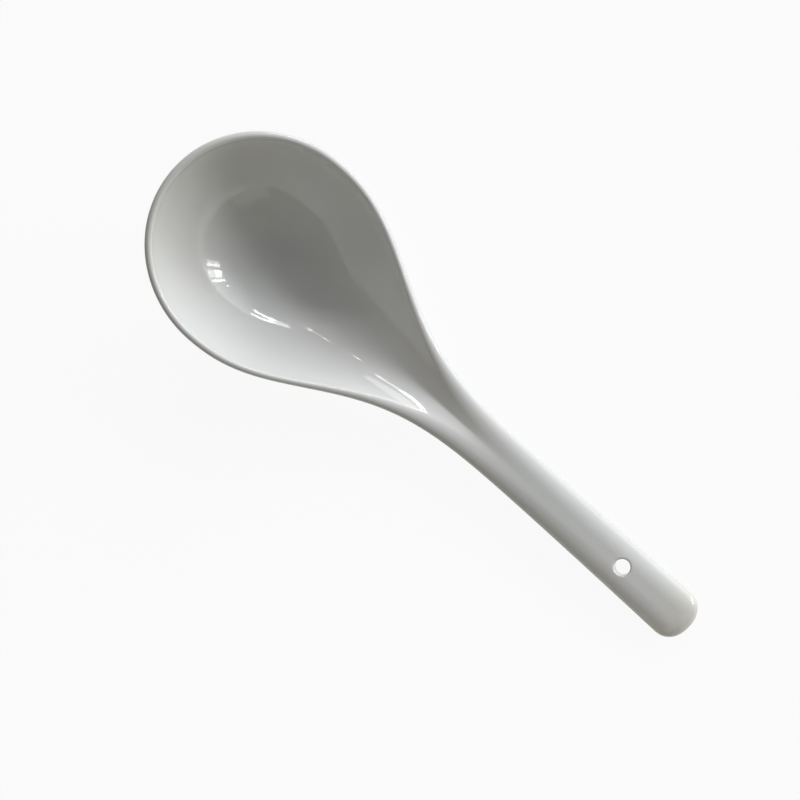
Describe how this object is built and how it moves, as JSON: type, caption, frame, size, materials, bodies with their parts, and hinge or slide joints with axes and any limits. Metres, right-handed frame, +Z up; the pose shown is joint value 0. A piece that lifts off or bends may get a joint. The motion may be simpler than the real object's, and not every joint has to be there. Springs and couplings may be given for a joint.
{
  "type": "soup ladle",
  "caption": "White glazed ceramic soup ladle: a deep egg-shaped bowl whose hollow runs out along the neck into a straight rounded handle with a hanging hole.",
  "frame": {"origin": "middle of the ladle's box, on the surface it lies on", "axes": "+X from the bowl to the handle's end, +Y across the bowl, +Z up; the ladle lies at rest on its bowl's flat and its handle's end"},
  "size_m": [0.2556, 0.09, 0.0574],
  "materials": {
    "glaze": "glossy white glaze",
    "slip": "glossy white glaze over fired slip"
  },
  "bodies": {
    "root": {"bowl": "glaze", "slip_joint": "slip", "handle": "glaze"}
  },
  "joints": []
}
